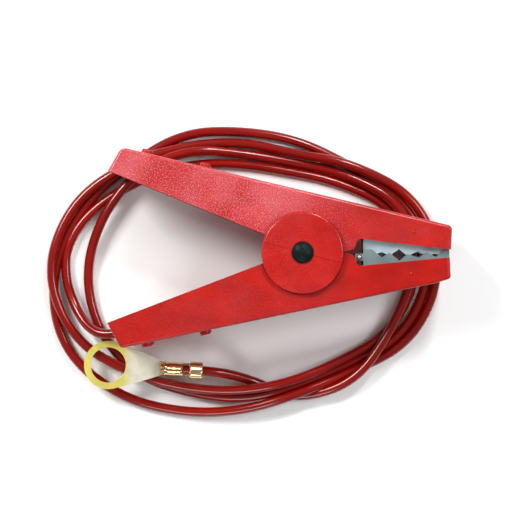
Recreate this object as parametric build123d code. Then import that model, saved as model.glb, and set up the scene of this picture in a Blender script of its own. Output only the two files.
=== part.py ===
"""Insulated crocodile clamp on a loose coil of its own lead, with a ring terminal.

Millimetres. The clamp lies on its side: X along the jaws, Z along the hinge axis.
The origin is the centre of the clamp's own box. Clamp outlines are drawn from the
hinge axis, and the lead is drawn in the part's frame.
"""
from build123d import *
import math
import os

# Frame
PIVOT = (6.96, -1.33)  # hinge axis in the part's frame
FLOOR = -16.4
FAR = 20  # a cut this far out passes right through the clamp
AHEAD = 60  # and this far along X is past the jaws

# Moulded shells
PLATE_FACE = 10.0  # outer face of a cheek, from the mid-plane
CHEEK = 1.8
WEB = 1.6
EDGE_ROUND = 1.0
REAR_RIM_X = -55  # edges behind this are on a handle's end
FRONT_RIM_X = 44.9  # and edges ahead of this are on the nose
RIM_BAND = 1.2  # how near to the straight outer edge a rim edge is
MOUTH_STEP = 8  # how far the handle's open side is moved past its tip
JAW_OVERLAP = 0.5
UPPER_JAW_CAVITY = 6.95  # half width between the thick cheeks of the upper jaw
LOWER_JAW_CAVITY = 8.1
JAW_START = 17.2

# Pivot
DISC_RADIUS = 12.5
DISC_FACE = 12.0
DISC_ROUND = 0.8
EAR_RADIUS = 9.0
EAR_SEAT = 9.4
EAR_FACE = 9.75  # the lower cheeks step down under the discs
STEP_RADIUS = 12.8
PIN_RADIUS = 2.5
PIN_BORE = 2.56
HEAD_RADIUS = 3.35
HEAD_HEIGHT = 1.3
HEAD_SEAT = 12.1
CREASE_ANGLE = -15.4
CREASE_DROP = 0.2
CREASE_TILT = 1.5

# Jaw liners
LINER_SHEET = 1.0
LINER_FIT = 0.1
LINER_REAR = 18.5
LINER_FRONT = 44.6
UPPER_FLANGE = 6.8
LOWER_FLANGE = 8.0
TIP_X = (26.5, 32.0, 37.8, 43.5)
VALLEY_X = (24.1, 29.4, 35.3, 40.5)
LOWER_TIP_Y = (-0.1, -0.5, 0.0, 0.76)
LOWER_VALLEY_Y = (-1.5, -2.5, -1.6, -1.4)
UPPER_TIP_Y = (-1.0, -1.1, -1.0, -0.9)
UPPER_VALLEY_Y = (0.1, 1.0, 0.4, -0.3)
PEG_RADIUS = 0.6
PEG_DOME = 0.3

# Torsion spring
WIRE = 1.4
SPRING_RADIUS = 4.6
SPRING_TURNS = 6
SPRING_PITCH = 1.5
LEG_GAP = 0.05  # between a leg and its web

# Lead
CORD = 3.0
CORD_RADIUS = CORD / 2
COPPER_RADIUS = 0.95
COIL_CENTRE = (-11.3, -7.54)
COIL_OUTER = (62.5, 46.0)  # half axes of the coil's oval
COIL_INNER = (47.5, 32.5)
COIL_TOP = -10.3
LEAD_ROUTE = [  # from the hole in the lower handle down to the coil
    (-50.3, -26.3, -6.2),
    (-54.5, -26.9, -6.8),
    (-58.7, -25.1, -9.0),
    (-61.7, -21.7, -11.3),
    (-64.3, -16.9, -13.3),
    (-65.7, -12.7, -14.4),
]
TAIL_ROUTE = [  # from the ring terminal down to the coil
    (-29.8, -37.6, -7.45),
    (-21.5, -38.1, -7.9),
    (-14.0, -39.5, -11.2),
    (-6.0, -42.3, -14.9),
]
INNER_ROUTE = [  # from the lug at the jaw back through the lower handle
    (18.6, -8.0, -5.0),
    (12.0, -9.3, -5.2),
    (1.0, -12.3, -5.6),
    (-14.0, -16.7, -5.6),
    (-30.0, -20.9, -5.6),
    (-42.5, -24.9, -5.4),
    (-50.3, -26.3, -6.2),
]

# Lug on the lower liner, from the hinge axis
LUG_SHEET = 0.8
LUG_AXIS = (-6.65, -5.0)  # y and z of the barrel's axis
BARREL_START = 12.6

# Ring terminal, from the ring's centre along the terminal
RING_CENTRE = (-53.2, -36.3)
RING_TURN = -3.2
RING_BOTTOM = -10.2
RING_SHEET = 0.8
RING_BORE = 5.5
RING_OUTER = 7.5
CRIMP_AXIS = -7.45
BARREL = (17.7, 23.3, 2.1)  # start, end and radius of the conductor barrel
GRIP = (25.5, 29.5, 2.2)  # start, end and radius of the insulation grip's lobes
STRANDS_RADIUS = 1.25

# Small fasteners and inner pieces
UPPER_PEG = (33.7, 6.1)
LOWER_PEG = (32.8, -6.5)
RIVET = (17.3, -1.45)
RIVET_RADIUS = 0.5
RIVET_HEAD = 0.9
RIVET_DOME = 0.8
RIVET_TAB = (2.6, 2.1)
SPRING_BUSH = 3.6
BUSH_END = 7.2
WASHER_RADIUS = 6.0
LEG_END_X = -28.0
LUG_RIVET_Y = -6.65
LUG_RIVET_Z = (0.5, 4.5)
LINER_WALL = 2.6  # a liner's rear wall stops this far from the hinge plane
FIRST_TOOTH_END = 21.0
FIRST_TOOTH = 1.0  # height of the flat first tooth

# Outlines, from the hinge axis. A straight outer edge runs from BACK to NOSE of each half.
UPPER_TIP = (-59.0, 24.8)
UPPER_BACK = (-55.0, 31.98)
UPPER_NOSE = (45.45, 8.05)
UPPER_OUTLINE = [
    UPPER_TIP,
    UPPER_BACK,
    UPPER_NOSE,
    (45.06, 0.87),
    (16.9, 4.2),
    (15.5, 0.95),
    (12.9, 0.3),
    (5.0, 0.3),
    (-8.0, 4.01),
    (-12.0, 5.64),
]
UPPER_ROUNDS = {UPPER_BACK: 2.4, UPPER_NOSE: 1.5, (16.9, 4.2): 1.5, (15.5, 0.95): 1.0}
LOWER_TIP = (-59.3, -21.4)
LOWER_BACK = (-55.2, -29.15)
LOWER_NOSE = (40.6, -9.3)
LOWER_OUTLINE = [
    LOWER_TIP,
    LOWER_BACK,
    LOWER_NOSE,
    (44.95, -7.9),
    (44.7, -1.5),
    (16.6, -4.17),
    (15.5, -0.75),
    (12.9, -0.05),
    (5.0, -0.05),
    (-8.0, -1.77),
    (-12.0, -3.3),
]
LOWER_ROUNDS = {LOWER_BACK: 1.6, (44.95, -7.9): 0.9, (16.6, -4.17): 1.5, (15.5, -0.75): 1.0}
BUMP_X = (-47.5, -29.7)
BUMP_Z = 4.5
BUMP_RADIUS = 1.7
BUMP_PROUD = 1.3
BUMP_ROUND = 0.6


def rounded(points, rounds):
    """A flat face with straight sides, rounded at the corners that rounds names."""
    face = make_face(Polyline(*points, close=True)).face()
    for corner, radius in rounds.items():
        vertex = face.vertices().sort_by_distance(Vector(*corner, 0))[0]
        face = face.fillet_2d(radius, [vertex])
    return face


def slab(face, low, high):
    """The face as a plate from one height to the other."""
    return Pos(0, 0, low) * extrude(face, amount=high - low, dir=(0, 0, 1))


def disc(radius, low, high):
    return Pos(0, 0, (low + high) / 2) * Cylinder(radius, high - low)


def shifted(start, end, distance):
    """A line's two ends, moved to its right by the distance."""
    along = (Vector(*end) - Vector(*start)).normalized()
    right = Vector(along.Y, -along.X) * distance
    return [(p[0] + right.X, p[1] + right.Y) for p in (start, end)]


def edge_height(start, end, x):
    """The height of a straight edge at x."""
    return start[1] + (end[1] - start[1]) * (x - start[0]) / (end[0] - start[0])


def rod(start, end, radius):
    """A round rod from one point to the other."""
    along = Vector(*end) - Vector(*start)
    plane = Plane(origin=start, z_dir=along.normalized())
    return extrude(plane * Circle(radius), amount=along.length, dir=along.normalized())


def bumps(start, end, side):
    """Grip bumps in two rows on an outer web."""
    out = Vector(0, side, 0).rotate(Axis.Z, math.degrees(math.atan2(end[1] - start[1], end[0] - start[0])))
    found = []
    for x in BUMP_X:
        for z in (-BUMP_Z, BUMP_Z):
            base = Vector(x, edge_height(start, end, x), z) - out * 0.5
            stud = rod(base, base + out * (BUMP_PROUD + 0.5), BUMP_RADIUS)
            rim = stud.edges().filter_by(GeomType.CIRCLE).sort_by_distance(base + out * 5)[0]
            found.append(fillet(rim, BUMP_ROUND))
    return found


def cross(first, second):
    """Where two straight lines meet."""
    (x1, y1), (x2, y2) = first
    (x3, y3), (x4, y4) = second
    spread = (x1 - x2) * (y3 - y4) - (y1 - y2) * (x3 - x4)
    one, two = x1 * y2 - y1 * x2, x3 * y4 - y3 * x4
    return (
        (one * (x3 - x4) - (x1 - x2) * two) / spread,
        (one * (y3 - y4) - (y1 - y2) * two) / spread,
    )


def shell_blank(outline, rounds):
    """A half's solid block, with its outside edges rounded."""
    block = slab(rounded(outline, rounds), -PLATE_FACE, PLATE_FACE)
    outside = []
    for edge in block.edges():
        middle = edge.position_at(0.5)
        away = abs(middle.Y - edge_height(outline[1], outline[2], middle.X))
        on_rim = away < RIM_BAND or middle.X < REAR_RIM_X or middle.X > FRONT_RIM_X
        if abs(abs(middle.Z) - PLATE_FACE) < 0.01 and on_rim:
            outside.append(edge)
    return fillet(outside, EDGE_ROUND)


def between_cheeks(outline, side, jaw_half_width):
    """The space in a half, open at the front and towards the other half."""
    tip, back, nose = outline[:3]
    web = shifted(back, nose, side * WEB)
    wall = shifted(tip, back, side * WEB)
    beyond = tip[1] - side * MOUTH_STEP
    mouth = cross(wall, ((-AHEAD, beyond), (AHEAD, beyond)))
    far = -side * FAR
    handle = [
        mouth,
        cross(web, wall),
        (JAW_START, edge_height(*web, JAW_START)),
        (JAW_START, far),
        (mouth[0], far),
    ]
    start = JAW_START - JAW_OVERLAP
    jaw = [(x, edge_height(*web, x)) for x in (start, AHEAD)]
    jaw += [(AHEAD, far), (start, far)]
    inside = PLATE_FACE - CHEEK
    space = slab(make_face(Polyline(*handle, close=True)).face(), -inside, inside)
    return space + slab(
        make_face(Polyline(*jaw, close=True)).face(), -jaw_half_width, jaw_half_width
    )


def pivot_disc(side):
    """The round cover over the pivot, with a crease across its face."""
    plate = disc(DISC_RADIUS, PLATE_FACE, DISC_FACE)
    plate = fillet(plate.edges().filter_by(GeomType.CIRCLE).sort_by(Axis.Z)[-1], DISC_ROUND)
    cutter = Rot(CREASE_TILT, 0, 0) * Box(40, FAR, 4, align=(Align.CENTER, Align.MAX, Align.MIN))
    plate -= Pos(0, 0, DISC_FACE - CREASE_DROP) * Rot(0, 0, CREASE_ANGLE) * cutter
    return plate if side > 0 else mirror(plate, Plane.XY)


def make_upper_shell():
    shell = shell_blank(UPPER_OUTLINE, UPPER_ROUNDS)
    for bump in bumps(UPPER_BACK, UPPER_NOSE, 1):
        shell += bump
    shell -= between_cheeks(UPPER_OUTLINE, 1, UPPER_JAW_CAVITY)
    shell -= disc(EAR_SEAT, -PLATE_FACE - 1, PLATE_FACE + 1)
    shell += pivot_disc(1)
    shell += pivot_disc(-1)
    shell -= disc(PIN_BORE, -FAR, FAR)
    return shell - Pos(*UPPER_PEG, 0) * Cylinder(PEG_RADIUS, 30)


def make_lower_shell():
    shell = shell_blank(LOWER_OUTLINE, LOWER_ROUNDS)
    for bump in bumps(LOWER_BACK, LOWER_NOSE, -1):
        shell += bump
    shell += disc(EAR_RADIUS, -PLATE_FACE, PLATE_FACE)
    shell -= between_cheeks(LOWER_OUTLINE, -1, LOWER_JAW_CAVITY)
    for low, high in ((EAR_FACE, DISC_FACE), (-DISC_FACE, -EAR_FACE)):
        shell -= disc(STEP_RADIUS, low, high)
    shell -= disc(PIN_BORE, -FAR, FAR)
    shell -= Pos(*LOWER_PEG, 0) * Cylinder(PEG_RADIUS, 30)
    start, end = Vector(*LEAD_ROUTE[0]), Vector(*LEAD_ROUTE[1])
    along = (end - start).normalized()
    hole = rod(start - along * 4, start + along * 4, CORD_RADIUS + 0.15)
    return shell - hole.moved(Location((-PIVOT[0], -PIVOT[1], 0)))


def make_liner(outline, side, flange, first, tips, valleys):
    """A toothed steel channel against a jaw's web."""
    back, nose = outline[1], outline[2]
    rest = shifted(back, nose, side * (WEB + LINER_FIT))
    sheet = shifted(back, nose, side * (WEB + LINER_FIT + LINER_SHEET))
    teeth = [(LINER_REAR, first), (FIRST_TOOTH_END, first)]
    for valley_x, valley_y, tip_x, tip_y in zip(VALLEY_X, valleys, TIP_X, tips):
        teeth += [(valley_x, valley_y), (tip_x, tip_y)]
    teeth.append((LINER_FRONT, tips[-1]))
    ends = [(x, edge_height(*rest, x)) for x in (LINER_FRONT, LINER_REAR)]
    liner = slab(make_face(Polyline(*teeth, *ends, close=True)).face(), -flange, flange)
    wall = LINER_REAR + LINER_SHEET
    far = -side * FAR
    inside = flange - LINER_SHEET
    channel = [(x, edge_height(*sheet, x)) for x in (wall, AHEAD)] + [(AHEAD, far), (wall, far)]
    liner -= slab(make_face(Polyline(*channel, close=True)).face(), -inside, inside)
    low, high = sorted((side * LINER_WALL, far))
    liner -= Pos(LINER_REAR, (low + high) / 2, 0) * Box(4, high - low, 2 * inside)
    return liner


def make_lower_liner():
    liner = make_liner(
        LOWER_OUTLINE, -1, LOWER_FLANGE, FIRST_TOOTH, LOWER_TIP_Y, LOWER_VALLEY_Y
    )
    tab_z = LOWER_FLANGE - LINER_SHEET / 2
    for z in (-tab_z, tab_z):
        liner += Pos(RIVET[0], RIVET[1], z) * Box(*RIVET_TAB, LINER_SHEET)
    liner -= Pos(*RIVET, 0) * Cylinder(RIVET_RADIUS, 30)
    liner -= Pos(*LOWER_PEG, 0) * Cylinder(PEG_RADIUS, 30)
    for z in LUG_RIVET_Z:
        liner -= rod((16, LUG_RIVET_Y, z), (22, LUG_RIVET_Y, z), RIVET_RADIUS)
    return liner


def make_upper_liner():
    liner = make_liner(
        UPPER_OUTLINE, 1, UPPER_FLANGE, -FIRST_TOOTH, UPPER_TIP_Y, UPPER_VALLEY_Y
    )
    return liner - Pos(*UPPER_PEG, 0) * Cylinder(PEG_RADIUS, 30)


def dome(radius, height):
    """A round head with a crowned top, standing on z = 0."""
    ball_radius = (radius**2 + height**2) / (2 * height)
    ball = Pos(0, 0, height - ball_radius) * Sphere(ball_radius)
    return ball & Pos(0, 0, height / 2) * Cylinder(radius, height)


def peg(place):
    """A cross pin with a low dome at each end."""
    end = Pos(0, 0, PLATE_FACE) * dome(PEG_RADIUS, PEG_DOME)
    return Pos(*place, 0) * (Cylinder(PEG_RADIUS, 2 * PLATE_FACE) + end + Rot(180, 0, 0) * end)


def make_rivet():
    """The rivet behind the lower jaw, with a dome at each end."""
    rivet = Cylinder(RIVET_RADIUS, 2 * LOWER_FLANGE)
    head = Pos(0, 0, LOWER_FLANGE) * dome(RIVET_HEAD, RIVET_DOME)
    return Pos(*RIVET, 0) * (rivet + head + Rot(180, 0, 0) * head)


def make_pivot_pin():
    shaft = disc(PIN_RADIUS, -HEAD_SEAT, HEAD_SEAT)
    return shaft + Pos(0, 0, HEAD_SEAT) * dome(HEAD_RADIUS, HEAD_HEIGHT)


def make_spring():
    """One wire: a leg on the lower web, the coil, and a leg on the upper web."""
    half = SPRING_PITCH * SPRING_TURNS / 2
    turn, reach = {}, {}
    for side in (-1, 1):
        back, nose = (UPPER_BACK, UPPER_NOSE) if side > 0 else (LOWER_BACK, LOWER_NOSE)
        web = shifted(back, nose, side * (WEB + WIRE / 2 + LEG_GAP))
        end = (LEG_END_X, edge_height(*web, LEG_END_X))
        away = math.hypot(*end)
        turn[side] = math.atan2(end[1], end[0]) - side * math.acos(SPRING_RADIUS / away)
        reach[side] = math.sqrt(away**2 - SPRING_RADIUS**2)
    turns = SPRING_TURNS + ((turn[1] - turn[-1]) / (2 * math.pi)) % 1
    coil = Helix(2 * half / turns, 2 * half, SPRING_RADIUS)
    level = math.hypot((coil % 0).X, (coil % 0).Y)
    first = (coil @ 0) - (coil % 0) * (reach[-1] / level)
    last = (coil @ 1) + (coil % 1) * (reach[1] / level)
    path = Wire([Line(first, coil @ 0).edge(), coil.edge(), Line(coil @ 1, last).edge()])
    section = Plane(origin=first, z_dir=coil % 0) * Circle(WIRE / 2)
    spring = mirror(Pos(0, 0, -half) * sweep(section, path=path), Plane.XY)
    return Rot(0, 0, math.degrees(turn[-1])) * spring


def make_bush():
    return disc(SPRING_BUSH, -BUSH_END, BUSH_END) - disc(PIN_BORE, -FAR, FAR)


def make_washer():
    """The washer between the bush and the upper ear, as the part lies."""
    ring = disc(WASHER_RADIUS, BUSH_END + 0.05, PLATE_FACE - CHEEK - 0.05)
    return ring - disc(PIN_BORE, -FAR, FAR)


def make_lug():
    """A plate riveted to the lower liner's rear wall, with a barrel for the lead."""
    y, z = LUG_AXIS
    plate_x = LINER_REAR - LUG_SHEET / 2
    lug = Pos(plate_x, y, 0) * Box(LUG_SHEET, 5.6, 13.6)
    lug += rod((BARREL_START, y, z), (LINER_REAR - LUG_SHEET, y, z), COPPER_RADIUS + LUG_SHEET)
    lug -= rod((BARREL_START - 1, y, z), (LINER_REAR - LUG_SHEET, y, z), COPPER_RADIUS)
    for rivet_z in LUG_RIVET_Z:
        lug -= rod((16, LUG_RIVET_Y, rivet_z), (22, LUG_RIVET_Y, rivet_z), RIVET_RADIUS)
    return lug


def make_lug_rivets():
    rivets = Part()
    for z in LUG_RIVET_Z:
        low, high = LINER_REAR - LUG_SHEET, LINER_REAR + LINER_SHEET
        shank = rod((low, LUG_RIVET_Y, z), (high, LUG_RIVET_Y, z), RIVET_RADIUS)
        shank += Pos(low, LUG_RIVET_Y, z) * Rot(0, -90, 0) * dome(RIVET_HEAD, 0.6)
        shank += Pos(high, LUG_RIVET_Y, z) * Rot(0, 90, 0) * dome(RIVET_HEAD, 0.6)
        rivets += shank
    return rivets


def make_lead_conductor():
    y, z = LUG_AXIS
    return rod((BARREL_START - 0.9, y, z), (LINER_REAR - LUG_SHEET, y, z), COPPER_RADIUS)


def tube(name, route):
    """A round cord along straight runs with the largest arcs that fit at its corners."""
    points = [Vector(*p) for p in route]
    runs = [b - a for a, b in zip(points, points[1:])]
    radii = []
    for before, after in zip(runs, runs[1:]):
        half_turn = math.radians(before.get_angle(after)) / 2
        radii.append(0.45 * min(before.length, after.length) / math.tan(half_turn))
    print(name, "bend radii", [round(r, 1) for r in radii])
    path = FilletPolyline(*points, radius=radii)
    section = Plane(origin=path @ 0, z_dir=path % 0) * Circle(CORD_RADIUS)
    cord = sweep(section, path=path)
    share = cord.volume / (math.pi * CORD_RADIUS**2 * path.length)
    print(name, "length", round(path.length, 1), "volume share", round(share, 4))
    return cord


def make_coil():
    """One closed ring of the loose coil's outer shape."""
    ring = Ellipse(*COIL_OUTER) - Ellipse(*COIL_INNER)
    ring = extrude(ring, amount=COIL_TOP - FLOOR)
    ring = chamfer(ring.edges(), 0.8)
    return Pos(*COIL_CENTRE, FLOOR) * ring


def on_terminal(shape):
    return Pos(*RING_CENTRE, 0) * Rot(0, 0, RING_TURN) * shape


def make_ring_terminal():
    top = RING_BOTTOM + RING_SHEET
    neck = [(2.4, 7.1), (10.7, 4.45), (16.0, 2.5), (17.2, 2.0), (GRIP[1], 2.0)]
    neck += [(x, -y) for x, y in reversed(neck)]
    plate = disc(RING_OUTER, RING_BOTTOM, top)
    plate += slab(make_face(Polyline(*neck, close=True)).face(), RING_BOTTOM, top)
    plate -= disc(RING_BORE, -FAR, 0)
    start, end, radius = BARREL
    plate += rod((start, 0, CRIMP_AXIS), (end, 0, CRIMP_AXIS), radius)
    plate -= rod((start - 1, 0, CRIMP_AXIS), (end + 1, 0, CRIMP_AXIS), STRANDS_RADIUS)
    start, end, radius = GRIP
    for y in (-0.5, 0.5):
        plate += rod((start, y, CRIMP_AXIS), (end, y, CRIMP_AXIS), radius)
    plate -= rod((BARREL[1], 0, CRIMP_AXIS), (end + 1, 0, CRIMP_AXIS), CORD_RADIUS + 0.02)
    return on_terminal(plate)


def make_terminal_conductor():
    ends = [(x, 0, CRIMP_AXIS) for x in (BARREL[0] - 0.9, BARREL[1])]
    return on_terminal(rod(*ends, STRANDS_RADIUS))


def write(node, shape, in_pivot_frame=True):
    """Place a node in the part's frame and write its STEP file."""
    solids = shape.solids()
    shape = Compound(children=list(solids)) if len(solids) > 1 else solids[0]
    if in_pivot_frame:
        shape = shape.moved(Location((*PIVOT, 0)))
    shape.label = node
    export_step(shape, f"parts/{node}.step")
    return shape


def main():
    os.makedirs("parts", exist_ok=True)
    clamp = {
        "upper_shell": make_upper_shell(),
        "lower_shell": make_lower_shell(),
        "upper_jaw_liner": make_upper_liner(),
        "lower_jaw_liner": make_lower_liner(),
        "upper_liner_pin": peg(UPPER_PEG),
        "lower_liner_pin": peg(LOWER_PEG),
        "lower_liner_rivet": make_rivet(),
        "pivot_pin": make_pivot_pin(),
        "pivot_cap": Pos(0, 0, -HEAD_SEAT) * Rot(180, 0, 0) * dome(HEAD_RADIUS, HEAD_HEIGHT),
        "front_washer": make_washer(),
        "back_washer": Rot(180, 0, 0) * make_washer(),
        "spring_bush": make_bush(),
        "torsion_spring": make_spring(),
        "lead_lug": make_lug(),
        "lug_rivets": make_lug_rivets(),
        "lead_conductor": make_lead_conductor(),
    }
    placed = [write(node, shape) for node, shape in clamp.items()]
    placed.append(write("cord_inner_run", tube("cord_inner_run", INNER_ROUTE), False))
    write("cord_lead", tube("cord_lead", LEAD_ROUTE), False)
    write("cord_tail", tube("cord_tail", TAIL_ROUTE), False)
    write("cord_coil", make_coil(), False)
    write("ring_terminal", make_ring_terminal(), False)
    write("terminal_conductor", make_terminal_conductor(), False)
    box = Compound(children=placed).bounding_box()
    print("clamp box", box.min, box.max, "centre", box.center())


main()
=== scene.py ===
"""Red crocodile clamp lying on its coiled lead, with a brass ring terminal."""
import math

import bmesh
import bpy
from mathutils import Matrix, Vector


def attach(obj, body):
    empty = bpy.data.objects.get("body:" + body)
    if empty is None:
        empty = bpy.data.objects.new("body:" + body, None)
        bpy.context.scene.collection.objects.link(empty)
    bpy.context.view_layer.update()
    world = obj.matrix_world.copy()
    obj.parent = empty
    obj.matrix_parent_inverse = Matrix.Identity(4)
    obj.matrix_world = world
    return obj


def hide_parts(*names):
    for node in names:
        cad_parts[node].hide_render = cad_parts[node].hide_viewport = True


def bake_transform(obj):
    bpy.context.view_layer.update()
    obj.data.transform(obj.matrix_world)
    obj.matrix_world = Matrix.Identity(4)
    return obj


MM = 0.001

# Camera, straight above
CAMERA_PLACE = (-5.49, -4.10, 733.6)
LENS = 164.4
SENSOR = 36.0

# Lead, in millimetres in the part's frame
CORD = 3.0
FLOOR = -16.4
COIL_CENTRE = (-11.3, -7.54)
OVAL = (57.0, 38.7)  # half axes of the coil's middle line
STATION = 22.5  # degrees from one point of a turn to the next
FIRST_STATION = 292.5
LAYER = 3.03  # height of one layer of the lead
TAIL_ROUTE = [  # from the ring terminal down to the coil
    (-29.8, -37.6, -7.45),
    (-21.5, -38.1, -7.9),
    (-14.0, -39.5, -11.2),
    (-6.0, -42.3, -14.9),
]
LEAD_ROUTE = [  # from the lower handle down to the coil
    (-50.3, -26.3, -6.2),
    (-54.5, -26.9, -6.8),
    (-58.7, -25.1, -9.0),
    (-61.7, -21.7, -11.3),
    (-64.3, -16.9, -13.3),
    (-66.8, -9.9, -14.6),
    (-66.8, 0.8, -14.9),
]
# The turns run anticlockwise from the terminal. Each point is its distance outside the oval,
# and its height in layers, so that each crossing has one strand down and the other up.
TURNS = [
    [(2.8, 0.0), (3.6, 1.1), (-3.0, 1.1), (-3.0, 1.05), (2.5, 1.0), (-1.0, 0.2), (-2.7, 0.0)]
    + [(-1.5, 0.2), (1.5, 1.1), (0.5, 1.0), (-5.1, 1.0), (-7.4, 0.2), (-3.5, 0.0), (1.0, 0.0)],
    [(0.8, 0.0), (1.0, 0.6), (-1.3, 1.0), (-3.0, 0.0), (1.5, 0.0), (2.5, 0.0), (4.0, 0.0), (2.2, 0.0)]
    + [(4.6, 0.0), (5.7, 0.0), (7.2, 0.0), (3.6, 0.0), (2.2, 0.0), (3.5, 0.0), (9.3, 0.0), (10.0, 0.0)],
    [(7.4, 0.0), (4.5, 0.6), (1.2, 1.4), (0.0, 0.1), (4.8, 0.0), (5.7, 0.0), (7.2, 0.6), (3.0, 1.2)]
    + [(0.0, 0.5), (2.3, 0.0), (3.0, 0.2), (3.9, 1.2), (5.4, 0.6), (4.9, 1.0), (4.5, 0.6), (0.8, 1.0)],
    [(-0.8, 1.0), (-1.8, 1.5), (-3.2, 1.9), (-4.8, 1.0), (-2.6, 0.0), (-1.3, 0.0), (-0.6, 0.0)]
    + [(-4.5, 0.0), (-5.9, 0.0), (-4.7, 0.0), (-3.3, 0.0), (-2.4, 0.0), (-1.0, 0.0)],
]

# Terminal, from the ring's centre
RING_CENTRE = (-53.2, -36.3)
RING_TURN = -3.2
RING_BOTTOM = -10.2
RING_BORE = 5.5
RING_OUTER = 7.5
PLATE_SHEET = 0.8
STRIP_END = 29.4
CRIMP_AXIS = -7.45
BARREL = (17.7, 23.3)
BARREL_RADIUS = 2.05
STRANDS_BORE = 1.3
GRIP = (25.5, 29.5)
GRIP_RADIUS = 2.15
GRIP_BORE = 1.46
STRANDS = 19
STRAND_RADIUS = 0.24
NECK = [  # one side of the neck's outline, from the strip's end to the ring
    (STRIP_END, 1.9),
    (17.4, 1.9),
    (16.6, 2.2),
    (15.6, 2.6),
    (11.2, 4.25),
    (10.2, 4.6),
    (2.6, 7.04),
]

RING_STEPS = 40  # points around half of the ring
CRIMPS_START = 15.5  # where the brass starts to turn darker
EDGE_ROUND = 0.14

# Shells, in metres: where the pale haze (partly dust, partly painted sheen) and the painted glints
# start and stop
DISC_STARTS = (0.0100, 0.0104)
FLAT_STARTS = (0.0088, 0.0098)
HANDLE_ENDS = (0.0, 0.028)

# Stage: the floor's width in metres, and the sky's strength from the horizon up
FLOOR_WIDTH = 3.0
SKY_HEIGHTS = (0.05, 0.75)
SKY_STRENGTHS = (0.12, 0.30)

# Lamps: place in metres, size, power and colour
LAMPS = {
    "key": ((-0.55, 0.45, 0.65), 0.30, 7.6, (1.0, 0.99, 0.97)),
    "back": ((0.20, 0.60, 0.60), 0.12, 3.4, (1.0, 1.0, 1.0)),
    "fill": ((0.55, 0.15, 0.60), 0.25, 2.4, (0.96, 0.98, 1.0)),
    "front": ((-0.10, -0.65, 0.55), 0.30, 2.0, (1.0, 1.0, 1.0)),
}


def oval(angle):
    """How far the coil's middle line is from its centre."""
    across, along = OVAL
    return across * along / math.hypot(along * math.cos(angle), across * math.sin(angle))


def lead_points():
    """The lead's route from the handle to the terminal, in millimetres."""
    points = list(TAIL_ROUTE)
    angle = FIRST_STATION
    for turn in TURNS:
        for outside, layer in turn:
            around = math.radians(angle)
            radius = oval(around) + outside
            x = COIL_CENTRE[0] + radius * math.cos(around)
            y = COIL_CENTRE[1] + radius * math.sin(around)
            points.append((x, y, FLOOR + CORD / 2 + LAYER * layer))
            angle += STATION
    points += reversed(LEAD_ROUTE)
    return list(reversed(points))


# ---- materials ----


class Nodes:
    """A short way to build one material's nodes."""

    def __init__(self, name):
        self.material = bpy.data.materials.new(name)
        self.material.use_nodes = True
        self.tree = self.material.node_tree
        self.shader = self.tree.nodes["Principled BSDF"]
        self.place = self.add("ShaderNodeTexCoord").outputs["Object"]
        self.parts = None

    def add(self, kind, **values):
        """A new node, with its settings and its unlinked inputs by name."""
        node = self.tree.nodes.new(kind)
        for key, value in values.items():
            if hasattr(node, key):
                setattr(node, key, value)
            else:
                node.inputs[key.replace("_", " ")].default_value = value
        return node

    def link(self, source, target):
        self.tree.links.new(source, target)

    def part(self, name):
        """One of the place's own coordinates: X, Y or Z."""
        if self.parts is None:
            self.parts = self.add("ShaderNodeSeparateXYZ")
            self.link(self.place, self.parts.inputs["Vector"])
        return self.parts.outputs[name]

    def stretched(self, scale):
        """The place with each axis scaled, for a texture with a grain."""
        mapping = self.add("ShaderNodeMapping")
        mapping.inputs["Scale"].default_value = scale
        self.link(self.place, mapping.inputs["Vector"])
        return mapping.outputs["Vector"]

    def noise(self, scale, detail=4.0, where=None, rough=0.55):
        noise = self.add("ShaderNodeTexNoise", Scale=scale, Detail=detail, Roughness=rough)
        self.link(where or self.place, noise.inputs["Vector"])
        return noise.outputs["Fac"]

    def spread(self, value, low, high, start=0.3, end=0.7):
        """The value between start and end, spread over low to high and clamped there."""
        ranged = self.add("ShaderNodeMapRange")
        for key, number in (
            ("From Min", start),
            ("From Max", end),
            ("To Min", low),
            ("To Max", high),
        ):
            ranged.inputs[key].default_value = number
        self.link(value, ranged.inputs["Value"])
        return ranged.outputs["Result"]

    def times(self, first, second):
        product = self.add("ShaderNodeMath", operation="MULTIPLY")
        self.link(first, product.inputs[0])
        self.link(second, product.inputs[1])
        return product.outputs[0]

    def mix(self, factor, first, second):
        """A blend of two colours, each either a plain colour or a socket."""
        mix = self.add("ShaderNodeMix", data_type="RGBA")
        self.link(factor, mix.inputs["Factor"])
        for socket, value in ((mix.inputs[6], first), (mix.inputs[7], second)):
            if isinstance(value, tuple):
                socket.default_value = (*value, 1.0)
            else:
                self.link(value, socket)
        return mix.outputs[2]

    def bump(self, height, distance, strength=1.0, below=None):
        bump = self.add("ShaderNodeBump", Distance=distance, Strength=strength)
        self.link(height, bump.inputs["Height"])
        if below is not None:
            self.link(below, bump.inputs["Normal"])
        return bump.outputs["Normal"]

    def set(self, **values):
        """Set or link the shader's own inputs, and return the material."""
        for key, value in values.items():
            socket = self.shader.inputs[key.replace("_", " ")]
            if isinstance(value, bpy.types.NodeSocket):
                self.link(value, socket)
            else:
                socket.default_value = value
        return self.material


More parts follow.
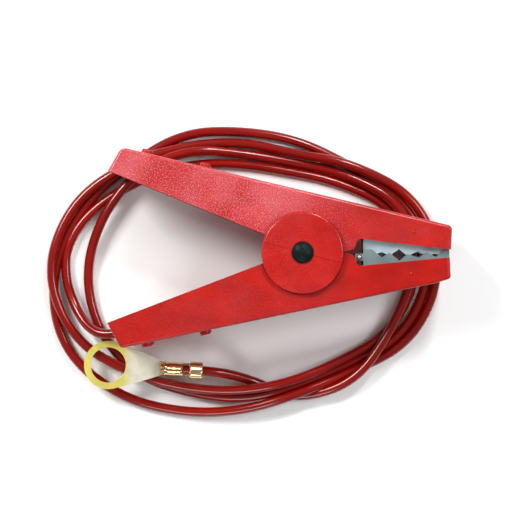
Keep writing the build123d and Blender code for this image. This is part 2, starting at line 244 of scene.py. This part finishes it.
def moulded_plastic(name, light, dark, dust_sheen_and_glints, gloss=0.34):
    """Moulded plastic. A pale haze, partly dust and partly painted sheen, and a fine speckle of painted
    glints cover the flat plates, most on the handles.
    """
    n = Nodes(name)
    flow = n.noise(75, 5, n.stretched((1.0, 1.6, 2.5)), 0.65)
    colour = n.mix(n.spread(flow, 0, 1, 0.35, 0.65), dark, light)
    height = n.add("ShaderNodeMath", operation="ABSOLUTE")
    n.link(n.part("Z"), height.inputs[0])
    off_disc = n.spread(height.outputs[0], 1.0, 0.15, *DISC_STARTS)
    on_flat = n.spread(height.outputs[0], 0.1, 1.0, *FLAT_STARTS)
    on_handle = n.spread(n.part("X"), 1.0, 0.12, *HANDLE_ENDS)
    plate = n.times(n.times(off_disc, on_flat), on_handle)
    # Pale haze: partly dust, partly a painted sheen where the light falls on the plates.
    dust_and_sheen_haze = n.spread(n.noise(60, 3), 0.1 * dust_sheen_and_glints, 0.75 * dust_sheen_and_glints, 0.38, 0.66)
    colour = n.mix(n.times(dust_and_sheen_haze, plate), colour, (0.60, 0.12, 0.14))
    # Fine pale speckle: painted glints on the grained finish.
    glint_speck = n.spread(n.noise(2500, 2, None, 0.6), 0.0, 0.9 * dust_sheen_and_glints, 0.50, 0.76)
    colour = n.mix(n.times(glint_speck, plate), colour, (0.80, 0.34, 0.38))
    rough = n.spread(n.noise(240, 5), gloss - 0.08, gloss + 0.12)
    grain = n.bump(n.noise(2200, 3), 0.00005, 0.6)
    waves = n.bump(n.noise(130, 3), 0.0003, 0.22, grain)
    n.set(Base_Color=colour, Roughness=rough, Normal=waves)
    n.set(Specular_IOR_Level=0.14, Coat_Weight=0.35, Coat_Roughness=0.16)
    return n.material


def plated_steel(name, light, dark, rough=0.38, grain=(1.0, 14.0, 1.0), metal=1.0):
    """Dull plate with a drawn grain and darker patches."""
    n = Nodes(name)
    lines = n.noise(900, 4, n.stretched(grain), 0.6)
    patches = n.noise(170, 5)
    colour = n.mix(n.spread(patches, 0, 1), dark, light)
    colour = n.mix(n.spread(lines, 0.0, 0.35), colour, dark)
    roughness = n.spread(patches, rough + 0.12, rough - 0.08)
    n.set(Base_Color=colour, Roughness=roughness, Metallic=metal)
    n.set(Normal=n.bump(lines, 0.00004, 0.4))
    return n.material


def cord_plastic():
    """Glossy dark red PVC, a little uneven as an extruded cover is."""
    n = Nodes("lead_pvc")
    colour = n.mix(n.spread(n.noise(45, 3), 0, 1), (0.17, 0.002, 0.001), (0.26, 0.004, 0.001))
    rough = n.spread(n.noise(350, 4), 0.12, 0.2)
    ripple = n.bump(n.noise(190, 2), 0.00010, 0.15)
    fine = n.bump(n.noise(2400, 2), 0.00001, 0.2, ripple)
    n.set(Base_Color=colour, Roughness=rough, Normal=fine)
    n.set(Specular_IOR_Level=0.45)
    return n.material


def black_enamel():
    """Thick black paint on a pressed head, lumpy and dull."""
    n = Nodes("black_enamel")
    worn = n.noise(700, 6, None, 0.7)
    colour = n.mix(n.spread(worn, 0, 1, 0.62, 0.8), (0.003, 0.009, 0.008), (0.05, 0.08, 0.08))
    rough = n.spread(n.noise(300, 4), 0.34, 0.55)
    n.set(Base_Color=colour, Roughness=rough, Specular_IOR_Level=0.12)
    lumps = n.bump(n.noise(420, 3), 0.0005, 0.8)
    n.set(Normal=n.bump(n.noise(1500, 3), 0.00005, 0.5, lumps))
    return n.material


def terminal_brass():
    """Yellow brass around the ring, painted pale along the neck as a reflection, and bright on the
    crimps.
    """
    n = Nodes("terminal_brass")
    ring_end = RING_CENTRE[0] + RING_BORE - 1.0
    crimps_start = RING_CENTRE[0] + CRIMPS_START
    # The neck's pale colour is a painted reflection of the bright studio on the brass.
    painted_reflection = n.spread(n.part("X"), 0, 1, ring_end * MM, (ring_end + 3.0) * MM)
    colour = n.mix(painted_reflection, (0.86, 0.76, 0.16), (0.92, 0.90, 0.74))
    crimped = n.spread(n.part("X"), 0, 1, crimps_start * MM, (crimps_start + 1.5) * MM)
    colour = n.mix(crimped, colour, (0.85, 0.66, 0.34))
    stain = n.spread(n.noise(500, 4), 0.0, 0.25, 0.45, 0.75)
    colour = n.mix(stain, colour, (0.42, 0.30, 0.10))
    n.set(Base_Color=colour, Roughness=0.2, Metallic=n.spread(crimped, 0.35, 0.95, 0, 1))
    n.set(Normal=n.bump(n.noise(260, 3), 0.0001, 0.3))
    return n.material


def paint_frame(frame):
    """Give every CAD node its finish, and return the finishes by node."""
    steel = plated_steel("zinc_plate", (0.58, 0.58, 0.57), (0.30, 0.30, 0.31))
    finishes = {
        # Both halves are one plastic: the upper gets strong painted sheen and glints, the lower only
        # faint ones and a slightly darker painted-shade red.
        "upper_shell": moulded_plastic(
            "red_shell_sheen_lit", (0.45, 0.006, 0.002), (0.33, 0.004, 0.002), dust_sheen_and_glints=0.75
        ),
        "lower_shell": moulded_plastic(
            "red_shell_sheen_faint", (0.42, 0.006, 0.002), (0.30, 0.004, 0.002), dust_sheen_and_glints=0.10
        ),
        "pivot_pin": black_enamel(),
        # Both liners are one zinc plate: the upper is painted a pale bluish reflection, and the lower
        # is painted darker as shade.
        "upper_jaw_liner": plated_steel(
            "zinc_painted_reflection", (0.60, 0.76, 0.82), (0.44, 0.58, 0.64), 0.5, metal=0.5
        ),
        "lower_jaw_liner": plated_steel(
            "zinc_painted_shade", (0.22, 0.30, 0.31), (0.14, 0.19, 0.20), 0.5, metal=0.5
        ),
        "torsion_spring": plated_steel("spring_wire", (0.40, 0.40, 0.42), (0.2, 0.2, 0.2), 0.3),
        "lead_lug": plated_steel("tinned_brass", (0.72, 0.66, 0.50), (0.5, 0.44, 0.3), 0.35),
        "lead_conductor": plated_steel("copper_strands", (0.80, 0.42, 0.24), (0.5, 0.22, 0.1), 0.3),
        "ring_terminal": terminal_brass(),
        "cord_inner_run": cord_plastic(),
    }
    finishes["upper_liner_pin"] = finishes["upper_shell"]
    finishes["lower_liner_pin"] = finishes["lower_shell"]
    finishes["pivot_cap"] = finishes["pivot_pin"]
    finishes["terminal_conductor"] = finishes["lead_conductor"]
    for name, node in frame["nodes"].items():
        node.data.materials.clear()
        node.data.materials.append(finishes.get(name, steel))
    return finishes


# ---- pieces ----


def make_lead(finish):
    """The free lead as one smooth cord from the handle to the terminal."""
    curve = bpy.data.curves.new("lead", "CURVE")
    curve.dimensions = "3D"
    spline = curve.splines.new("NURBS")
    points = lead_points()
    spline.points.add(len(points) - 1)
    for target, point in zip(spline.points, points):
        target.co = (*(c * MM for c in point), 1.0)
    spline.order_u = 3
    spline.use_endpoint_u = True
    spline.resolution_u = 10
    curve.bevel_depth = CORD / 2 * MM
    curve.bevel_resolution = 6
    curve.use_fill_caps = True
    curve.materials.append(finish)
    lead = bpy.data.objects.new("lead", curve)
    bpy.context.scene.collection.objects.link(lead)
    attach(lead, "lower_half")
    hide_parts("cord_lead", "cord_coil", "cord_tail")
    return lead


def on_terminal(points):
    """Points measured from the ring's centre along the terminal, put in the part's frame."""
    turn = Matrix.Rotation(math.radians(RING_TURN), 4, "Z")
    centre = Vector((*RING_CENTRE, 0))
    return [(turn @ Vector(p) + centre) * MM for p in points]


def quads(rows, columns, first, flip=False):
    """The faces of a grid that closes on itself along its columns."""
    found = []
    for i in range(rows - 1):
        for j in range(columns):
            k = (j + 1) % columns
            face = [first + i * columns + j, first + i * columns + k]
            face += [first + (i + 1) * columns + k, first + (i + 1) * columns + j]
            found.append(face[::-1] if flip else face)
    return found


def smoothed(outline, times):
    """An open outline with its corners cut round."""
    for _ in range(times):
        cut = [outline[0]]
        for (x0, y0), (x1, y1) in zip(outline, outline[1:]):
            cut.append((0.75 * x0 + 0.25 * x1, 0.75 * y0 + 0.25 * y1))
            cut.append((0.25 * x0 + 0.75 * x1, 0.25 * y0 + 0.75 * y1))
        outline = cut + [outline[-1]]
    return outline


def terminal_plate():
    """The ring with its neck, and the strip under both crimps."""
    side = smoothed(NECK, 2)
    start = math.atan2(side[-1][1], side[-1][0])
    arc = [start + (math.pi - start) * i / RING_STEPS for i in range(1, RING_STEPS + 1)]
    half = side + [(RING_OUTER * math.cos(a), RING_OUTER * math.sin(a)) for a in arc]
    outer = half + [(x, -y) for x, y in reversed(half[:-1])]
    inner = []
    for x, y in outer:
        reach = math.hypot(x, y)
        inner.append((x * RING_BORE / reach, y * RING_BORE / reach))
    top = RING_BOTTOM + PLATE_SHEET
    loops = [(inner, RING_BOTTOM), (outer, RING_BOTTOM), (outer, top), (inner, top)]
    points = [(x, y, z) for loop, z in loops for x, y in loop]
    count = len(outer)
    faces = quads(4, count, 0, True)
    last = 3 * count
    for j in range(count):
        k = (j + 1) % count
        faces.append([j, last + j, last + k, k][::-1])
    return points, faces


def crimp(start, end, section, first, rings=14, around=72):
    """A closed crimp tube whose section changes along it."""
    points = []
    for inside in (False, True):
        for i in range(rings + 1):
            share = i / rings
            x = start + (end - start) * share
            for j in range(around):
                angle = 2 * math.pi * j / around
                y, z = section(share, angle, inside)
                points.append((x, y, CRIMP_AXIS + z))
    wall = (rings + 1) * around
    faces = quads(rings + 1, around, first) + quads(rings + 1, around, first + wall, True)
    for ring in (0, rings):
        for j in range(around):
            k = (j + 1) % around
            row = first + ring * around
            face = [row + j, row + k, row + wall + k, row + wall + j]
            faces.append(face[::-1] if ring == 0 else face)
    return points, faces


def dip(angle, depth, width):
    """A groove along the top of a crimp."""
    away = (angle - math.pi / 2 + math.pi) % (2 * math.pi) - math.pi
    return depth * math.exp(-((away / width) ** 2))


def barrel_section(share, angle, inside):
    """The conductor barrel: flared ends, a pressed middle and a seam along the top."""
    flare = 0.35 * max(0.0, 1 - share / 0.16) ** 2 + 0.3 * max(0.0, (share - 0.88) / 0.12) ** 2
    press = 0.10 * math.exp(-(((share - 0.52) / 0.2) ** 2))
    radius = (STRANDS_BORE if inside else BARREL_RADIUS) + flare
    radius -= dip(angle, 0.05 if inside else 0.35, 0.16)
    top = 1 - press * max(0.0, math.sin(angle))
    return radius * math.cos(angle) * (1 + 0.1 * press), radius * math.sin(angle) * top


def grip_section(share, angle, inside):
    """The insulation grip: two lobes that meet in a groove along the top."""
    edge = 0.12 * abs(2 * share - 1) ** 6
    if inside:
        return GRIP_BORE * math.cos(angle), GRIP_BORE * math.sin(angle)
    radius = GRIP_RADIUS - edge - dip(angle, 0.55, 0.26)
    lobes = 0.5 * math.tanh(3 * math.cos(angle))
    return radius * math.cos(angle) + lobes, radius * math.sin(angle)


def make_terminal(finish, strands_finish):
    """The ring terminal as pressed sheet, and the bare strands in its barrel."""
    points, faces = terminal_plate()
    for start, end, section in (
        (BARREL[0], BARREL[1], barrel_section),
        (GRIP[0], GRIP[1], grip_section),
    ):
        more, found = crimp(start, end, section, len(points))
        points += more
        faces += found
    mesh = bpy.data.meshes.new("terminal")
    mesh.from_pydata(on_terminal(points), [], faces)
    mesh.update()
    mesh.materials.append(finish)
    terminal = bpy.data.objects.new("terminal", mesh)
    bpy.context.scene.collection.objects.link(terminal)
    tidy = bmesh.new()
    tidy.from_mesh(mesh)
    bmesh.ops.recalc_face_normals(tidy, faces=tidy.faces)
    tidy.to_mesh(mesh)
    tidy.free()
    bevel = terminal.modifiers.new("edges", "BEVEL")
    bevel.width = EDGE_ROUND * MM
    bevel.segments = 2
    bevel.limit_method = "ANGLE"
    bevel.angle_limit = math.radians(50)
    mesh.shade_smooth()
    mesh.set_sharp_from_angle(angle=math.radians(35))
    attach(terminal, "lower_half")
    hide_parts("ring_terminal")
    return terminal, make_strands(strands_finish)


def make_strands(finish):
    """Bare copper strands that fan out a little in front of the barrel."""
    curve = bpy.data.curves.new("strands", "CURVE")
    curve.dimensions = "3D"
    for strand in range(STRANDS):
        ring = 0 if strand == 0 else 1 if strand < 7 else 2
        turn = strand * 2 * math.pi / (6 if ring == 1 else 12)
        spread = ring * 2.05 * STRAND_RADIUS
        reach = 1.0 + 0.35 * math.sin(strand * 2.4)
        line = []
        for x, fan in ((BARREL[0] - reach, 1.12), (BARREL[0] + 0.4, 1.0), (BARREL[1], 1.0)):
            y = spread * fan * math.cos(turn)
            z = CRIMP_AXIS + spread * fan * math.sin(turn)
            line.append((x, y, z))
        spline = curve.splines.new("POLY")
        spline.points.add(2)
        for target, point in zip(spline.points, on_terminal(line)):
            target.co = (*point, 1.0)
    curve.bevel_depth = STRAND_RADIUS * MM
    curve.bevel_resolution = 3
    curve.use_fill_caps = True
    curve.materials.append(finish)
    strands = bpy.data.objects.new("strands", curve)
    bpy.context.scene.collection.objects.link(strands)
    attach(strands, "lower_half")
    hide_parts("terminal_conductor")
    return strands


def make_spring(frame):
    """The spring's own mesh, a still copy of the CAD spring."""
    node = frame["nodes"]["torsion_spring"]
    spring = bpy.data.objects.new("spring_coil", node.data.copy())
    bpy.context.scene.collection.objects.link(spring)
    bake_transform(spring)
    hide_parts("torsion_spring")
    return spring


def make_stage():
    """A plain pale floor and soft studio light."""
    bpy.ops.mesh.primitive_plane_add(size=FLOOR_WIDTH, location=(0, 0, FLOOR * MM))
    floor = bpy.context.active_object
    floor.name = "floor"
    n = Nodes("floor_paper")
    colour = n.mix(n.spread(n.noise(30, 4), 0, 1), (0.93, 0.93, 0.93), (0.95, 0.95, 0.95))
    floor.data.materials.append(n.set(Base_Color=colour, Roughness=0.8))
    make_sky()
    for name, (place, size, power, colour) in LAMPS.items():
        light = bpy.data.lights.new(name, "AREA")
        light.size = size
        light.energy = power
        light.color = colour
        lamp = bpy.data.objects.new(name, light)
        bpy.context.scene.collection.objects.link(lamp)
        lamp.location = place
        lamp.rotation_euler = (-Vector(place)).to_track_quat("-Z", "Y").to_euler()


def make_sky():
    """A studio that is bright overhead and darker near the floor."""
    world = bpy.data.worlds.new("studio")
    world.use_nodes = True
    tree = world.node_tree
    place = tree.nodes.new("ShaderNodeTexCoord")
    parts = tree.nodes.new("ShaderNodeSeparateXYZ")
    ramp = tree.nodes.new("ShaderNodeMapRange")
    ramp.inputs["From Min"].default_value, ramp.inputs["From Max"].default_value = SKY_HEIGHTS
    ramp.inputs["To Min"].default_value, ramp.inputs["To Max"].default_value = SKY_STRENGTHS
    tree.links.new(place.outputs["Generated"], parts.inputs["Vector"])
    tree.links.new(parts.outputs["Z"], ramp.inputs["Value"])
    tree.links.new(ramp.outputs["Result"], tree.nodes["Background"].inputs["Strength"])
    tree.nodes["Background"].inputs["Color"].default_value = (1.0, 0.99, 0.97, 1)
    bpy.context.scene.world = world
    bpy.context.scene.view_settings.view_transform = "Standard"


def make_camera():
    """A long lens straight above the part."""
    data = bpy.data.cameras.new("camera")
    data.lens = LENS
    data.sensor_width = SENSOR
    data.clip_start = 0.01
    camera = bpy.data.objects.new("camera", data)
    camera.location = [c * MM for c in CAMERA_PLACE]
    bpy.context.scene.collection.objects.link(camera)
    bpy.context.scene.camera = camera


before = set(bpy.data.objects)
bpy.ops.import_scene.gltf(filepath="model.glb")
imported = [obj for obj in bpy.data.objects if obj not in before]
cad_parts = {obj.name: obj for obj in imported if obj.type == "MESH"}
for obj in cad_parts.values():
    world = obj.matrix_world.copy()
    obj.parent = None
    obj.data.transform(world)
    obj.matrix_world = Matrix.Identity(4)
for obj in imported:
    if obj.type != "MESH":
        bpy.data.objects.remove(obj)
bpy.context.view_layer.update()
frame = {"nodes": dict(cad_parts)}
make_camera()
finishes = paint_frame(frame)
lead = make_lead(finishes["cord_inner_run"])
terminal, strands = make_terminal(finishes["ring_terminal"], finishes["lead_conductor"])
make_spring(frame)
make_stage()
